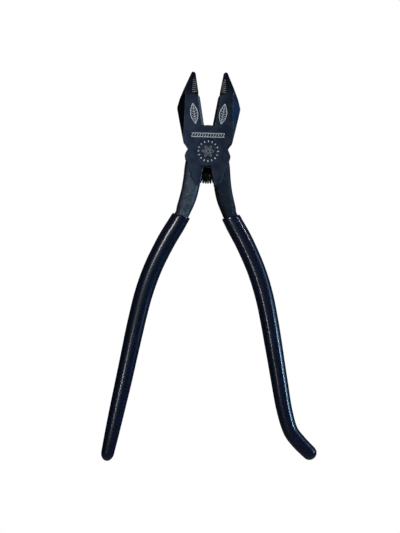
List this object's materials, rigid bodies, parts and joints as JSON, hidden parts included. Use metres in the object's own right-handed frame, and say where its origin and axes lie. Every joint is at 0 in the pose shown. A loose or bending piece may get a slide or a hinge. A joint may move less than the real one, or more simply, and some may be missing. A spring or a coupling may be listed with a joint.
{
  "type": "ironworker pliers",
  "caption": "Side-cutting lineman-pattern pliers with a flush lap joint, a coil return spring between the handles, dipped grips and one hooked handle end.",
  "frame": {"origin": "pivot axis, on the back face of the joint that the tool lies on", "axes": "+Y along the parting line towards the jaw tips, +X towards the hooked handle, +Z out of the front face along the pivot"},
  "size_m": [0.1258, 0.2285, 0.0135],
  "materials": {
    "blackened_steel": "satin black oxide on forged steel",
    "spring_steel": "bare drawn wire, oiled",
    "dipped_grip": "glossy dipped plastisol, blue-black"
  },
  "bodies": {
    "front": {"front_half": "blackened_steel", "pivot_rivet": "blackened_steel", "return_spring": "spring_steel", "hooked_grip": "dipped_grip"},
    "back": {"back_half": "blackened_steel", "straight_grip": "dipped_grip"}
  },
  "joints": [
    {"name": "pivot", "type": "hinge", "parent": "front", "child": "back", "pos_m": [0, 0, 0], "axis": [0, 0, -1], "range_deg": [-19.5, 4], "stiffness_Nm_per_rad": 0.5, "deforming": ["return_spring"]}
  ]
}
